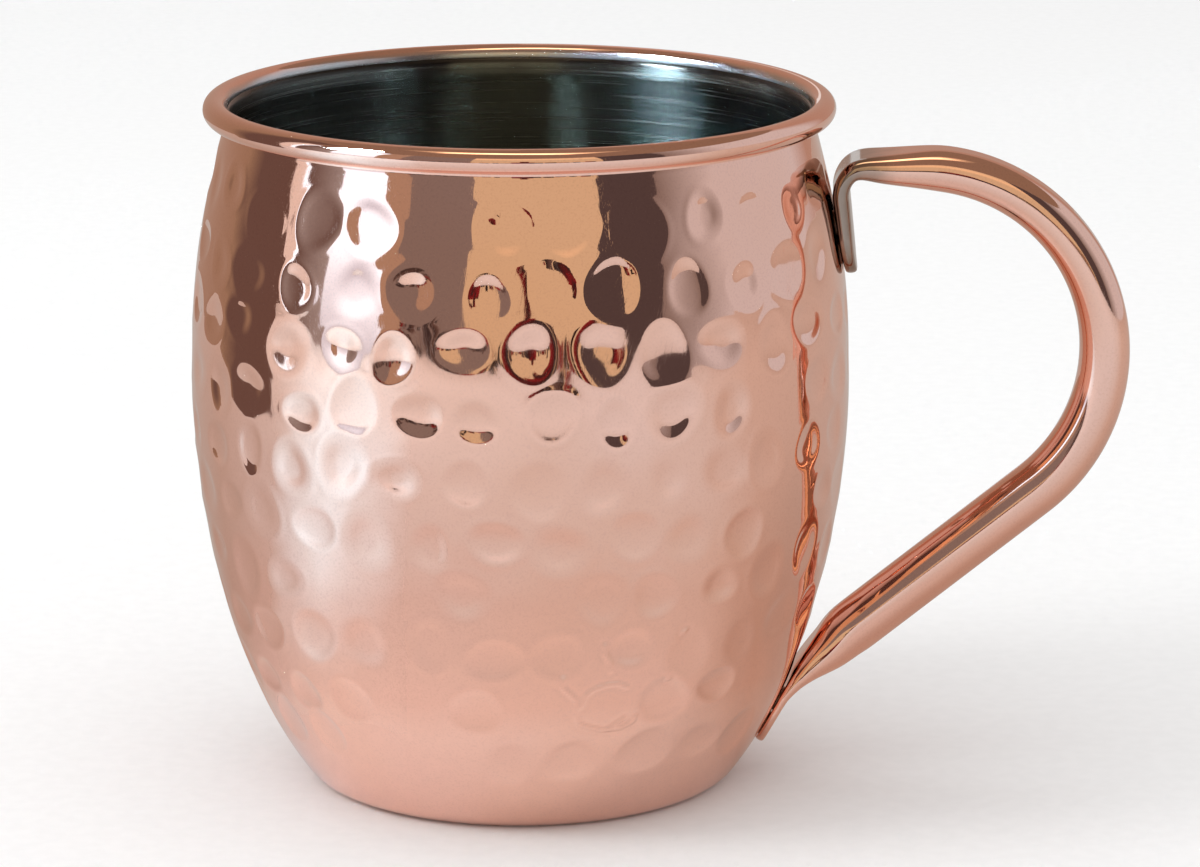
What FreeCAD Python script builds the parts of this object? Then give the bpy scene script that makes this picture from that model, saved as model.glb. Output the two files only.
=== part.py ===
"""Hammered copper barrel mug: copper shell, steel lining, bent tube handle and its spot welds.

Millimetres, +Z up. The origin is the centre of the base, on the axis of the mug, and the handle
points along +X.
"""
import FreeCAD, Part
import math
import os
import Sketcher
from FreeCAD import Placement, Rotation, Vector

# Driving dimensions: alias, value in millimetres or degrees, meaning
DIMENSIONS = [
    ("cup_height", 94.3, "base to the crest of the rolled rim"),
    ("belly_radius", 44.8, "widest radius of the barrel"),
    ("belly_height", 56.0, "height of the widest place"),
    ("barrel_arc", 118.0, "radius of the barrel's upright curve"),
    ("low_arc", 62.0, "radius of the tighter curve below it"),
    ("low_arc_angle", 18.2, "degrees below level where the tighter curve starts"),
    ("foot_arc", 4.1, "radius of the corner between barrel and base"),
    ("shell_sheet", 0.5, "thickness of the copper sheet"),
    ("liner_sheet", 0.4, "thickness of the steel lining"),
    ("curl_radius", 1.65, "outer radius of the rolled rim's section"),
    ("curl_reach", 40.85, "distance of the rolled rim's section from the axis"),
    ("curl_sweep", 290.0, "degrees that the sheet turns through in the rolled rim"),
    ("tube_round", 7.6, "diameter of the handle's tube before it is pressed"),
    ("tube_wall", 0.55, "wall of the handle's tube"),
    ("tube_low_depth", 7.4, "depth of the pressed tube in the straight below the loop"),
    ("tube_high_depth", 5.7, "depth of the pressed tube at the top of the loop"),
    ("neck_depth", 3.6, "depth of the tube where it narrows towards the upper tab"),
    ("bend_depth", 2.2, "depth of the tube in the bend above the upper tab"),
    ("squeeze_depth", 5.6, "depth of the tube where it starts to be pinched above the lower tab"),
    ("pinch_depth", 2.4, "depth of the tube where it is pinched most above the lower tab"),
    ("loop_radius", 25.0, "radius of the handle's loop at the tube's centre line"),
    ("loop_reach", 54.1, "distance of the loop's centre from the axis"),
    ("loop_height", 59.75, "height of the loop's centre"),
    ("loop_high_angle", 85.0, "degrees above level where the loop starts"),
    ("loop_low_angle", 50.8, "degrees below level where the loop runs into the straight"),
    ("straight_length", 32.0, "length of the straight below the loop"),
    ("neck_reach", 48.0, "distance of the neck's centre from the axis"),
    ("neck_height", 85.0, "height of the neck's centre"),
    ("neck_turn", 4.0, "degrees that the neck slopes down away from the mug"),
    ("bend_reach", 44.5, "distance of the upper bend's centre from the axis"),
    ("bend_height", 84.4, "height of the upper bend's centre"),
    ("bend_rise", 45.0, "degrees that the path climbs at the upper bend's centre"),
    ("high_tab_reach", 44.9, "distance of the upper tab's lower end from the axis"),
    ("high_tab_height", 70.3, "height of the upper tab's lower end"),
    ("high_tab_length", 11.0, "length of the upper tab"),
    ("high_tab_end_depth", 1.5, "depth of the upper tab at its lower end"),
    ("high_tab_top_depth", 2.2, "depth of the upper tab at its top, where the tube's walls part"),
    ("high_tab_lean", 7.6, "degrees that the upper tab leans in at its top"),
    ("squeeze_reach", 42.1, "distance from the axis of the section where the pinch starts"),
    ("squeeze_height", 17.35, "height of the section where the pinch starts"),
    ("pinch_reach", 38.62, "distance of the pinched section's centre from the axis"),
    ("pinch_height", 14.3, "height of the pinched section's centre"),
    ("pinch_turn", 132.0, "degrees that the path has turned from level at the pinched section"),
    ("low_tab_reach", 32.68, "distance of the lower tab's lower end from the axis"),
    ("low_tab_height", 4.35, "height of the lower tab's lower end"),
    ("low_tab_length", 8.05, "length of the lower tab"),
    ("low_tab_lean", 29.4, "degrees that the lower tab leans out at its top"),
    ("nugget_radius", 1.75, "radius of a spot-weld nugget"),
    ("high_nugget_rise", 3.0, "distance of the upper tab's first nugget from the tab's end"),
    ("low_nugget_rise", 2.4, "distance of the lower tab's first nugget from the tab's end"),
    ("nugget_spacing", 4.0, "distance between the two nuggets of a tab"),
]

LOOP_STATIONS = 7        # sections round the loop, down to the start of the straight
STRAIGHT_STATIONS = 3    # sections along the straight, below the loop's last one
NUGGETS_PER_TAB = 2
TRIM_MARGIN = 1.5        # how far the tool that rounds a tab's end reaches past the tab


def add_sheet(document):
    """Put the driving dimensions in a spreadsheet, one aliased cell each."""
    sheet = document.addObject("Spreadsheet::Sheet", "dims")
    for row, (alias, value, meaning) in enumerate(DIMENSIONS, start=1):
        sheet.set(f"A{row}", meaning)
        sheet.set(f"B{row}", str(value))
        sheet.setAlias(f"B{row}", alias)
    document.recompute()
    return sheet


def size_of(document, formula):
    """Work out a formula of the spreadsheet's dimensions as a plain number."""
    return float(document.getObject("dims").evalExpression(formula))


def origin_plane(body, role):
    """Return one of the body's own origin planes."""
    return next(plane for plane in body.Origin.OriginFeatures if plane.Role == role)


def add_body(document, label):
    """Make a PartDesign body whose label is the sub-part's file name."""
    body = document.addObject("PartDesign::Body", label)
    body.Label = label
    body.Placement = Placement()
    return body


def add_sketch(body, name, role):
    """Attach a new sketch to an origin plane of its own body."""
    sketch = body.newObject("Sketcher::SketchObject", name)
    sketch.AttachmentSupport = (origin_plane(body, role), [""])
    sketch.MapMode = "FlatFace"
    return sketch


def drive(sketch, formula, kind, *where):
    """Add a sized constraint and bind it to a formula of the spreadsheet's dimensions."""
    value = size_of(sketch.Document, formula)
    index = sketch.addConstraint(Sketcher.Constraint(kind, *where, value))
    sketch.setExpression(f"Constraints[{index}]", formula)


def tie(sketch, kind, *where):
    """Add a constraint that has no size."""
    sketch.addConstraint(Sketcher.Constraint(kind, *where))


def add_arc(sketch, centre, radius, first, last):
    """Add an arc between two angles in degrees, counter-clockwise, and return its number."""
    circle = Part.Circle(centre, Vector(0, 0, 1), radius)
    return sketch.addGeometry(Part.ArcOfCircle(circle, math.radians(first), math.radians(last)))


def add_line(sketch, start, end):
    """Add a line and return its number."""
    return sketch.addGeometry(Part.LineSegment(start, end))


def add_cup_side(sketch, skin):
    """Draw floor, corner, barrel and neck lines, set in from the mug's outside by the skin formula."""
    document = sketch.Document
    inset = size_of(document, skin)
    foot_arc = size_of(document, "dims.foot_arc")
    low_arc = size_of(document, "dims.low_arc")
    barrel_arc = size_of(document, "dims.barrel_arc")
    joint_angle = -size_of(document, "dims.low_arc_angle")
    low_height_formula = ("dims.belly_height - "
                          "(dims.barrel_arc - dims.low_arc) * sin(dims.low_arc_angle * 1 deg)")
    neck_formula = f"dims.curl_reach - dims.curl_radius + dims.shell_sheet - ({skin})"
    rim_formula = "dims.cup_height - dims.curl_radius"
    neck = size_of(document, neck_formula)
    rim = size_of(document, rim_formula)

    belly_centre = Vector(size_of(document, "dims.belly_radius - dims.barrel_arc"),
                          size_of(document, "dims.belly_height"), 0)
    low_centre = Vector(belly_centre.x + (barrel_arc - low_arc) * math.cos(math.radians(joint_angle)),
                        size_of(document, low_height_formula), 0)
    drop = low_centre.y - foot_arc
    foot = Vector(low_centre.x + math.sqrt((low_arc - foot_arc) ** 2 - drop ** 2), foot_arc, 0)
    foot_angle = math.degrees(math.atan2(foot.y - low_centre.y, foot.x - low_centre.x))
    high_angle = math.degrees(math.acos((neck - belly_centre.x) / (barrel_arc - inset)))
    shoulder = belly_centre.y + (barrel_arc - inset) * math.sin(math.radians(high_angle))

    floor = add_line(sketch, Vector(0, inset, 0), Vector(foot.x, inset, 0))
    corner = add_arc(sketch, foot, foot_arc - inset, -90, foot_angle)
    low = add_arc(sketch, low_centre, low_arc - inset, foot_angle, joint_angle)
    barrel = add_arc(sketch, belly_centre, barrel_arc - inset, joint_angle, high_angle)
    upright = add_line(sketch, Vector(neck, shoulder, 0), Vector(neck, rim, 0))

    tie(sketch, "Horizontal", floor)
    tie(sketch, "PointOnObject", floor, 1, -2)
    if inset > 0:
        drive(sketch, skin, "DistanceY", -1, 1, floor, 1)
    else:
        tie(sketch, "PointOnObject", floor, 2, -1)
    tie(sketch, "Tangent", floor, 2, corner, 1)
    tie(sketch, "Tangent", corner, 2, low, 1)
    tie(sketch, "Tangent", low, 2, barrel, 1)
    tie(sketch, "Coincident", barrel, 2, upright, 1)
    tie(sketch, "Vertical", upright)
    drive(sketch, f"dims.foot_arc - ({skin})", "Radius", corner)
    drive(sketch, f"dims.low_arc - ({skin})", "Radius", low)
    drive(sketch, f"dims.barrel_arc - ({skin})", "Radius", barrel)
    drive(sketch, low_height_formula, "DistanceY", -1, 1, low, 3)
    drive(sketch, "dims.barrel_arc - dims.belly_radius", "DistanceX", barrel, 3, -1, 1)
    drive(sketch, "dims.belly_height", "DistanceY", -1, 1, barrel, 3)
    drive(sketch, neck_formula, "DistanceX", -1, 1, upright, 2)
    drive(sketch, rim_formula, "DistanceY", -1, 1, upright, 2)
    return floor, upright


def close_on_axis(sketch, outer_floor, inner_floor):
    """Join the two floor lines along the mug's axis."""
    axis = add_line(sketch, sketch.getPoint(inner_floor, 1), sketch.getPoint(outer_floor, 1))
    tie(sketch, "Coincident", inner_floor, 1, axis, 1)
    tie(sketch, "Coincident", outer_floor, 1, axis, 2)


def add_curl(sketch, outer_upright, inner_upright):
    """Roll the sheet outward over the top: two concentric arcs and the sheet's cut edge."""
    document = sketch.Document
    outer = size_of(document, "dims.curl_radius")
    inner = size_of(document, "dims.curl_radius - dims.shell_sheet")
    sweep = size_of(document, "dims.curl_sweep")
    centre = Vector(size_of(document, "dims.curl_reach"),
                    size_of(document, "dims.cup_height - dims.curl_radius"), 0)
    cut_angle = 180 - sweep
    outward = Vector(math.cos(math.radians(cut_angle)), math.sin(math.radians(cut_angle)), 0)
    inner_arc = add_arc(sketch, centre, inner, cut_angle, 180)
    outer_arc = add_arc(sketch, centre, outer, cut_angle, 180)
    edge = add_line(sketch, centre + outward * inner, centre + outward * outer)

    tie(sketch, "Tangent", inner_arc, 2, outer_upright, 2)
    tie(sketch, "Tangent", outer_arc, 2, inner_upright, 2)
    tie(sketch, "Coincident", inner_arc, 1, edge, 1)
    tie(sketch, "Coincident", outer_arc, 1, edge, 2)
    tie(sketch, "PointOnObject", inner_arc, 3, edge)
    drive(sketch, "dims.curl_radius", "Radius", outer_arc)
    drive(sketch, "dims.curl_radius - dims.shell_sheet", "Radius", inner_arc)
    drive(sketch, "180 - dims.curl_sweep", "Angle", edge)


def revolve(body, sketch):
    """Turn the profile once round the mug's axis."""
    turned = body.newObject("PartDesign::Revolution", "Turned")
    turned.Profile = sketch
    turned.ReferenceAxis = (sketch, ["V_Axis"])
    turned.Angle = 360
    body.Tip = turned


def build_outer_shell(document):
    """Copper cup: floor, barrel wall and rolled rim, one sheet all through."""
    body = add_body(document, "outer_shell")
    sketch = add_sketch(body, "ShellProfile", "XZ_Plane")
    outer_floor, outer_upright = add_cup_side(sketch, "0")
    inner_floor, inner_upright = add_cup_side(sketch, "dims.shell_sheet")
    add_curl(sketch, outer_upright, inner_upright)
    close_on_axis(sketch, outer_floor, inner_floor)
    revolve(body, sketch)
    return body


def build_steel_liner(document):
    """Steel lining: a thinner cup that fits the shell's inside up to the rolled rim."""
    body = add_body(document, "steel_liner")
    sketch = add_sketch(body, "LinerProfile", "XZ_Plane")
    outer_floor, outer_upright = add_cup_side(sketch, "dims.shell_sheet")
    inner_floor, inner_upright = add_cup_side(sketch, "dims.shell_sheet + dims.liner_sheet")
    lip = add_line(sketch, sketch.getPoint(outer_upright, 2), sketch.getPoint(inner_upright, 2))
    tie(sketch, "Coincident", outer_upright, 2, lip, 1)
    tie(sketch, "Coincident", inner_upright, 2, lip, 2)
    close_on_axis(sketch, outer_floor, inner_floor)
    revolve(body, sketch)
    return body


def place_across_path(sketch, reach, height, turn):
    """Move a sketch to a point of the handle's path and turn it to lie across the path."""
    document = sketch.Document
    spot = Vector(0, size_of(document, height), size_of(document, reach))
    sketch.AttachmentOffset = Placement(spot, Rotation(Vector(1, 0, 0), size_of(document, turn)))
    sketch.setExpression("AttachmentOffset.Base.y", f"({height}) * 1 mm")
    sketch.setExpression("AttachmentOffset.Base.z", f"({reach}) * 1 mm")
    sketch.setExpression("AttachmentOffset.Rotation.Angle", f"({turn}) * 1 deg")


def add_tube_section(body, name, station, inset):
    """Draw the pressed tube's section at a station: flat sides and round edges.

    Pressing keeps the tube's girth, so the width follows from the depth.
    """
    reach, height, turn, depth = station
    sketch = add_sketch(body, name, "YZ_Plane")
    place_across_path(sketch, reach, height, turn)
    radius_formula = f"({depth}) / 2 - ({inset})"
    flat_formula = f"pi * (dims.tube_round - ({depth})) / 2"
    radius = size_of(body.Document, radius_formula)
    half_flat = size_of(body.Document, flat_formula) / 2

    upper = add_line(sketch, Vector(-half_flat, radius, 0), Vector(half_flat, radius, 0))
    right = add_arc(sketch, Vector(half_flat, 0, 0), radius, -90, 90)
    lower = add_line(sketch, Vector(half_flat, -radius, 0), Vector(-half_flat, -radius, 0))
    left = add_arc(sketch, Vector(-half_flat, 0, 0), radius, 90, 270)
    tie(sketch, "Tangent", upper, 2, right, 2)
    tie(sketch, "Tangent", right, 1, lower, 1)
    tie(sketch, "Tangent", lower, 2, left, 2)
    tie(sketch, "Tangent", left, 1, upper, 1)
    tie(sketch, "Equal", left, right)
    tie(sketch, "PointOnObject", right, 3, -1)
    tie(sketch, "Symmetric", left, 3, right, 3, -1, 1)
    drive(sketch, radius_formula, "Radius", right)
    drive(sketch, flat_formula, "DistanceX", left, 3, right, 3)
    return sketch


def loop_station(number):
    """Give reach, height, turn and depth of a section round the loop, counted from its top."""
    share = number / (LOOP_STATIONS - 1)
    angle = f"(dims.loop_high_angle - {share} * (dims.loop_high_angle + dims.loop_low_angle))"
    reach = f"dims.loop_reach + dims.loop_radius * cos({angle} * 1 deg)"
    height = f"dims.loop_height + dims.loop_radius * sin({angle} * 1 deg)"
    depth = f"dims.tube_high_depth + {share} * (dims.tube_low_depth - dims.tube_high_depth)"
    return reach, height, f"90 - {angle}", depth


def straight_station(number):
    """Give a section of the straight below the loop, the last one at the straight's lower end."""
    share = number / STRAIGHT_STATIONS
    reach, height, turn, depth = loop_station(LOOP_STATIONS - 1)
    reach = f"{reach} - {share} * dims.straight_length * sin(dims.loop_low_angle * 1 deg)"
    height = f"{height} - {share} * dims.straight_length * cos(dims.loop_low_angle * 1 deg)"
    return reach, height, turn, depth


def high_tab_station(rise):
    """Give the upper tab's section at a distance above the tab's lower end.

    The walls of the tube part towards the top of this tab.
    """
    reach = f"dims.high_tab_reach - ({rise}) * sin(dims.high_tab_lean * 1 deg)"
    height = f"dims.high_tab_height + ({rise}) * cos(dims.high_tab_lean * 1 deg)"
    depth = (f"dims.high_tab_end_depth + ({rise}) / dims.high_tab_length * "
             "(dims.high_tab_top_depth - dims.high_tab_end_depth)")
    return reach, height, "-90 - dims.high_tab_lean", depth


def low_tab_station(rise):
    """Give the lower tab's section at a distance above the tab's lower end.

    Here the tube's two walls are pressed together.
    """
    reach = f"dims.low_tab_reach + ({rise}) * sin(dims.low_tab_lean * 1 deg)"
    height = f"dims.low_tab_height + ({rise}) * cos(dims.low_tab_lean * 1 deg)"
    return reach, height, "90 + dims.low_tab_lean", "2 * dims.tube_wall"


def tube_stations():
    """List the sections between the two tabs; the tube is open inside from the second one on."""
    bend = ("dims.bend_reach", "dims.bend_height", "-dims.bend_rise", "dims.bend_depth")
    neck = ("dims.neck_reach", "dims.neck_height", "dims.neck_turn", "dims.neck_depth")
    squeeze = ("dims.squeeze_reach", "dims.squeeze_height", "90 + dims.loop_low_angle",
               "dims.squeeze_depth")
    pinch = ("dims.pinch_reach", "dims.pinch_height", "dims.pinch_turn", "dims.pinch_depth")
    loop = [loop_station(number) for number in range(LOOP_STATIONS)]
    straight = [straight_station(number) for number in range(1, STRAIGHT_STATIONS + 1)]
    return [bend, neck, *loop, *straight, squeeze, pinch]


def loft(body, kind, name, sketches):
    """Loft through the sketches in order, adding or removing material."""
    feature = body.newObject(kind, name)
    feature.Profile = sketches[0]
    feature.Sections = sketches[1:]
    body.Tip = feature
    return feature


def round_tab_end(body, name, station, flip):
    """Trim a tab's lower end to a half-round outline."""
    reach, height, turn, depth = station
    half_width_formula = f"(({depth}) + pi * (dims.tube_round - ({depth})) / 2) / 2"
    half_width = size_of(body.Document, half_width_formula)
    side = half_width + TRIM_MARGIN
    sketch = add_sketch(body, f"{name}Outline", "YZ_Plane")
    place_across_path(sketch, reach, height, f"{turn} {flip}")
    corners = [Vector(-half_width, half_width, 0), Vector(-side, half_width, 0),
               Vector(-side, -TRIM_MARGIN, 0), Vector(side, -TRIM_MARGIN, 0),
               Vector(side, half_width, 0), Vector(half_width, half_width, 0)]
    lines = [add_line(sketch, start, end) for start, end in zip(corners, corners[1:])]
    end_arc = add_arc(sketch, Vector(0, half_width, 0), half_width, 180, 360)
    for first, second in zip(lines, lines[1:]):
        tie(sketch, "Coincident", first, 2, second, 1)
    tie(sketch, "Coincident", end_arc, 1, lines[0], 1)
    tie(sketch, "Coincident", end_arc, 2, lines[-1], 2)
    for level in (lines[0], lines[2], lines[4]):
        tie(sketch, "Horizontal", level)
    for upright in (lines[1], lines[3]):
        tie(sketch, "Vertical", upright)
    tie(sketch, "PointOnObject", end_arc, 3, -2)
    tie(sketch, "PointOnObject", end_arc, 3, lines[0])
    drive(sketch, half_width_formula, "Radius", end_arc)
    drive(sketch, half_width_formula, "DistanceY", -1, 1, end_arc, 3)
    drive(sketch, f"{half_width_formula} + {TRIM_MARGIN}", "DistanceX", -1, 1, lines[3], 1)
    drive(sketch, f"{half_width_formula} + {TRIM_MARGIN}", "DistanceX", lines[1], 1, -1, 1)
    drive(sketch, f"{TRIM_MARGIN}", "DistanceY", lines[2], 1, -1, 1)

    trim = body.newObject("PartDesign::Pocket", name)
    trim.Profile = sketch
    trim.SideType = "Symmetric"
    trim.setExpression("Length", "dims.tube_round * 1 mm / 2")
    body.Tip = trim


def build_handle_tube(document):
    """Handle: one bent tube, pressed oval, its ends flattened to tabs against the wall."""
    body = add_body(document, "handle_tube")
    stations = tube_stations()
    outer = [add_tube_section(body, f"Outer{number}", station, "0")
             for number, station in enumerate(stations)]
    inner = [add_tube_section(body, f"Inner{number}", station, "dims.tube_wall")
             for number, station in enumerate(stations[1:])]
    high_end = add_tube_section(body, "HighTabEnd", high_tab_station("0"), "0")
    high_top = add_tube_section(body, "HighTabTop", high_tab_station("dims.high_tab_length"), "0")
    low_end = add_tube_section(body, "LowTabEnd", low_tab_station("0"), "0")
    low_top = add_tube_section(body, "LowTabTop", low_tab_station("dims.low_tab_length"), "0")
    document.recompute()

    loft(body, "PartDesign::AdditiveLoft", "Tube", [high_top, *outer, low_top])
    loft(body, "PartDesign::SubtractiveLoft", "Hollow", inner)
    loft(body, "PartDesign::AdditiveLoft", "HighTab", [high_end, high_top])
    loft(body, "PartDesign::AdditiveLoft", "LowTab", [low_top, low_end])
    document.recompute()
    round_tab_end(body, "HighTabRound", high_tab_station("0"), "+ 90")
    round_tab_end(body, "LowTabRound", low_tab_station("0"), "- 90")
    return body


def build_core(document):
    """Fill the mug's outline to its axis: a tool that trims the nuggets, not a sub-part."""
    body = add_body(document, "core")
    sketch = add_sketch(body, "CoreProfile", "XZ_Plane")
    floor, upright = add_cup_side(sketch, "0")
    rim = sketch.getPoint(upright, 2)
    top = add_line(sketch, rim, Vector(0, rim.y, 0))
    axis = add_line(sketch, Vector(0, rim.y, 0), sketch.getPoint(floor, 1))
    tie(sketch, "Coincident", upright, 2, top, 1)
    tie(sketch, "Coincident", top, 2, axis, 1)
    tie(sketch, "Coincident", axis, 2, floor, 1)
    tie(sketch, "Horizontal", top)
    revolve(body, sketch)
    return body


def build_nuggets(document, label, station_at, first_rise, inward_turn, neighbours):
    """Spot-weld nuggets: the metal fused between a tab and the shell, two on the tab's centre line."""
    plugs = []
    for number in range(NUGGETS_PER_TAB):
        reach, height, turn, _ = station_at(f"{first_rise} + {number} * dims.nugget_spacing")
        facing = f"{turn} + {inward_turn}"
        plug = document.addObject("Part::Cylinder", f"{label}_plug{number}")
        plug.Placement = Placement(Vector(), Rotation(Vector(0, 1, 0), size_of(document, facing)))
        plug.setExpression("Radius", "dims.nugget_radius * 1 mm")
        plug.setExpression("Height", "dims.tube_round * 1 mm / 2")
        plug.setExpression("Placement.Base.x", f"({reach}) * 1 mm")
        plug.setExpression("Placement.Base.z", f"({height}) * 1 mm")
        plug.setExpression("Placement.Rotation.Angle", f"({facing}) * 1 deg")
        plugs.append(plug)
    remaining = document.addObject("Part::MultiFuse", f"{label}_plugs")
    remaining.Shapes = plugs
    for neighbour in neighbours:
        trimmed = document.addObject("Part::Cut", f"{label}_clear_of_{neighbour.Label}")
        trimmed.Base = remaining
        trimmed.Tool = neighbour
        remaining = trimmed
    remaining.Label = label
    return remaining


def check_and_export(document, parts):
    """Stop on a failed feature, then write one STEP file for each sub-part."""
    document.recompute()
    for item in document.Objects:
        assert "Invalid" not in item.State and "Error" not in item.State, f"{item.Name}: {item.State}"
    os.makedirs("parts", exist_ok=True)
    for part in parts:
        assert not part.Shape.isNull() and part.Shape.isValid(), part.Label
        assert part.Shape.Volume > 0, part.Label
        part.Shape.exportStep(f"parts/{part.Label}.step")
        box = part.Shape.BoundBox
        print(part.Label, f"solids {len(part.Shape.Solids)}", f"volume {part.Shape.Volume:.1f}",
              f"x {box.XMin:.2f}..{box.XMax:.2f}", f"z {box.ZMin:.2f}..{box.ZMax:.2f}")


def main():
    document = FreeCAD.newDocument("copper_mug")
    add_sheet(document)
    shell = build_outer_shell(document)
    liner = build_steel_liner(document)
    handle = build_handle_tube(document)
    core = build_core(document)
    trims = [core, handle]
    high_welds = build_nuggets(document, "upper_weld_spots", high_tab_station,
                               "dims.high_nugget_rise", 0, trims)
    low_welds = build_nuggets(document, "lower_weld_spots", low_tab_station,
                              "dims.low_nugget_rise", 180, trims)
    check_and_export(document, [shell, liner, handle, high_welds, low_welds])


main()
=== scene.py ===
"""Hammered copper mug: dimpled shell, brushed steel lining and polished tube handle, on a pale floor.

Metres, +Z up. The origin is the centre of the base, and the handle points along +X.
"""
import math
import random

import bpy
import numpy as np
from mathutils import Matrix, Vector


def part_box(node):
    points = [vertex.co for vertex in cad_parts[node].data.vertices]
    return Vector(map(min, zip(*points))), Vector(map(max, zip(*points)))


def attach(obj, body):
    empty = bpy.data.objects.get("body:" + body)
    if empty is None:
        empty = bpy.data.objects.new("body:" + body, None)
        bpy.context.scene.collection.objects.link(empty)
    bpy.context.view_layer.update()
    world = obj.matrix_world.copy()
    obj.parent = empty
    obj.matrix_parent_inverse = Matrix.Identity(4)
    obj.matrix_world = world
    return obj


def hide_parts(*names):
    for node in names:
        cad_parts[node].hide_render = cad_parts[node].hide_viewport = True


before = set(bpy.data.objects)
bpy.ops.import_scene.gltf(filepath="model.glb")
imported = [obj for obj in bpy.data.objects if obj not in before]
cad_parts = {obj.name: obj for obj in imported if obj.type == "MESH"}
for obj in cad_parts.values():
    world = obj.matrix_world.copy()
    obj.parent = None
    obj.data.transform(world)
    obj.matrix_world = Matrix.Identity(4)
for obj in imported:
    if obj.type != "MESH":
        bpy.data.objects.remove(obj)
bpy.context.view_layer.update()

MM = 0.001

# Cup: the frame gives the outside, and these are the curves between
SHELL_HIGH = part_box("outer_shell")[1]
CUP_HEIGHT = SHELL_HIGH[2]
BELLY_RADIUS = SHELL_HIGH[0]
BELLY_HEIGHT = 56.0 * MM
BARREL_ARC = 118.0 * MM
LOW_ARC = 62.0 * MM
LOW_ARC_ANGLE = math.radians(-18.2)
FOOT_ARC = 4.1 * MM
SHELL_SHEET = 0.5 * MM
LINER_SHEET = 0.4 * MM
CURL_RADIUS = 1.65 * MM
CURL_REACH = 40.85 * MM
CURL_SWEEP = math.radians(290)
RIM_HEIGHT = CUP_HEIGHT - CURL_RADIUS      # height of the curl's centre
LIP_LENGTH = 0.8 * MM                      # over which the lining thins out towards the curl

# Handle: the tube's centre line and its depth; the frame gives the rest
TUBE_ROUND = 7.6 * MM                      # diameter of the tube before it is pressed
LOOP_RADIUS = 25 * MM
LOOP_CENTRE = (54.08 * MM, 59.75 * MM)
LOOP_HIGH_ANGLE = 85                       # degrees above level where the loop starts
LOOP_LOW_ANGLE = 50.8                      # degrees below level where the straight starts
LOOP_HIGH_DEPTH = 5.7 * MM
LOOP_LOW_DEPTH = 7.4 * MM
STRAIGHT_LENGTH = 32 * MM
NECK = (48.0 * MM, 85.0 * MM)
NECK_TURN = 4                              # degrees that the tube slopes down there
NECK_DEPTH = 3.6 * MM
BEND = (44.5 * MM, 84.4 * MM)
BEND_RISE = 45                             # degrees that the path climbs at the upper bend
BEND_DEPTH = 2.2 * MM
HIGH_TAB = (44.9 * MM, 70.3 * MM)          # lower end of the upper tab
HIGH_TAB_LENGTH = 11 * MM
HIGH_TAB_LEAN = 7.6
HIGH_TAB_DEPTH = 1.5 * MM
SQUEEZE = (42.1 * MM, 17.35 * MM)          # where the tube starts to be pinched
SQUEEZE_DEPTH = 5.6 * MM
PINCH = (38.62 * MM, 14.3 * MM)
PINCH_TURN = 132                           # degrees that the path has turned from level there
PINCH_DEPTH = 2.4 * MM
LOW_TAB = (32.68 * MM, 4.35 * MM)          # lower end of the lower tab
LOW_TAB_LENGTH = 8.05 * MM
LOW_TAB_LEAN = 29.4
LOW_TAB_DEPTH = 1.1 * MM
TAB_FADE = 4 * MM                          # over which a tab's curl round the wall dies out
DEPTH_REACH = 2.5 * MM                     # over which the pressed depth and the heading are smoothed
HEADING_REACH = 1.0 * MM

# Mesh density
SPIN_SEGMENTS = 780
FINE_STEP = 0.36 * MM                      # between rows of the hammered face
TUBE_STEP = 0.5 * MM                       # between the handle's sections
TUBE_SIDES = 72
END_STEPS = 14                             # rows that round off each tab's end
CURL_STEP = math.radians(7)
PLAIN_STEP = 2.0 * MM                      # between rows that nothing marks
LINER_STEP = 0.5 * MM
LINER_SEGMENTS = 256

# Hammer marks
MARK_SEED = 41
TOP_ROW_HEIGHT = 83.5 * MM
ROW_PITCH = 8.1 * MM                       # along the wall
ROW_PHASES = (-3.0, -6.1, 2.2, -6.7, 2.5, -4.0, 1.0, -5.0, 3.0, -2.0)
ROW_DEPTHS = (0.8, 1.0, 1.0, 1.0, 1.0, 1.0, 1.05, 1.15, 1.3, 1.3)
ROW_SOFTNESS = (1.0, 1.0, 1.0, 1.0, 1.0, 1.0, 0.9, 0.7, 0.5, 0.5)
MARK_SPACING = 8.9 * MM                    # round the wall
MARK_RADIUS = 3.5 * MM
MARK_DEPTH = 0.34 * MM
MISSED_BLOWS = 0.08
ROW_WANDER = 0.75 * MM                     # how far the blows stray along the wall and round it
MARK_WANDER = 0.6 * MM
TAB_MARGIN = 3.5 * MM                      # plain wall either side of a tab's middle
SKIRT_REACH = 2.1                          # how far a blow drags the sheet in, in mark radii
SKIRT_DEPTH = 0.10 * MM
MOST_DRAG = 1.6                            # the widest-reaching blow, in skirt depths
LIP_HEIGHT = 0.025 * MM                    # metal that a blow pushes up round its edge
LIP_WIDTH = 0.14                           # in mark radii
DEPTH_LIMIT = 0.9 * MM                     # the copper stiffens as it is beaten deeper
SEAM_INSET = 0.22 * MM                     # how much deeper the sheets meet where the copper is dented
SEAM_GAP = 0.02 * MM
PLAIN_NECK = 3 * MM                        # of the wall below the curl, with no marks
PLAIN_FOOT = 4 * MM                        # of the wall above the floor, with no waves
NECK_FADE = 4 * MM
FOOT_FADE = 8 * MM
WAVE_COUNT = 40
WAVE_HEIGHT = 0.045 * MM
WAVE_LENGTH = 15 * MM                      # of the shortest wave along the wall

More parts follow.
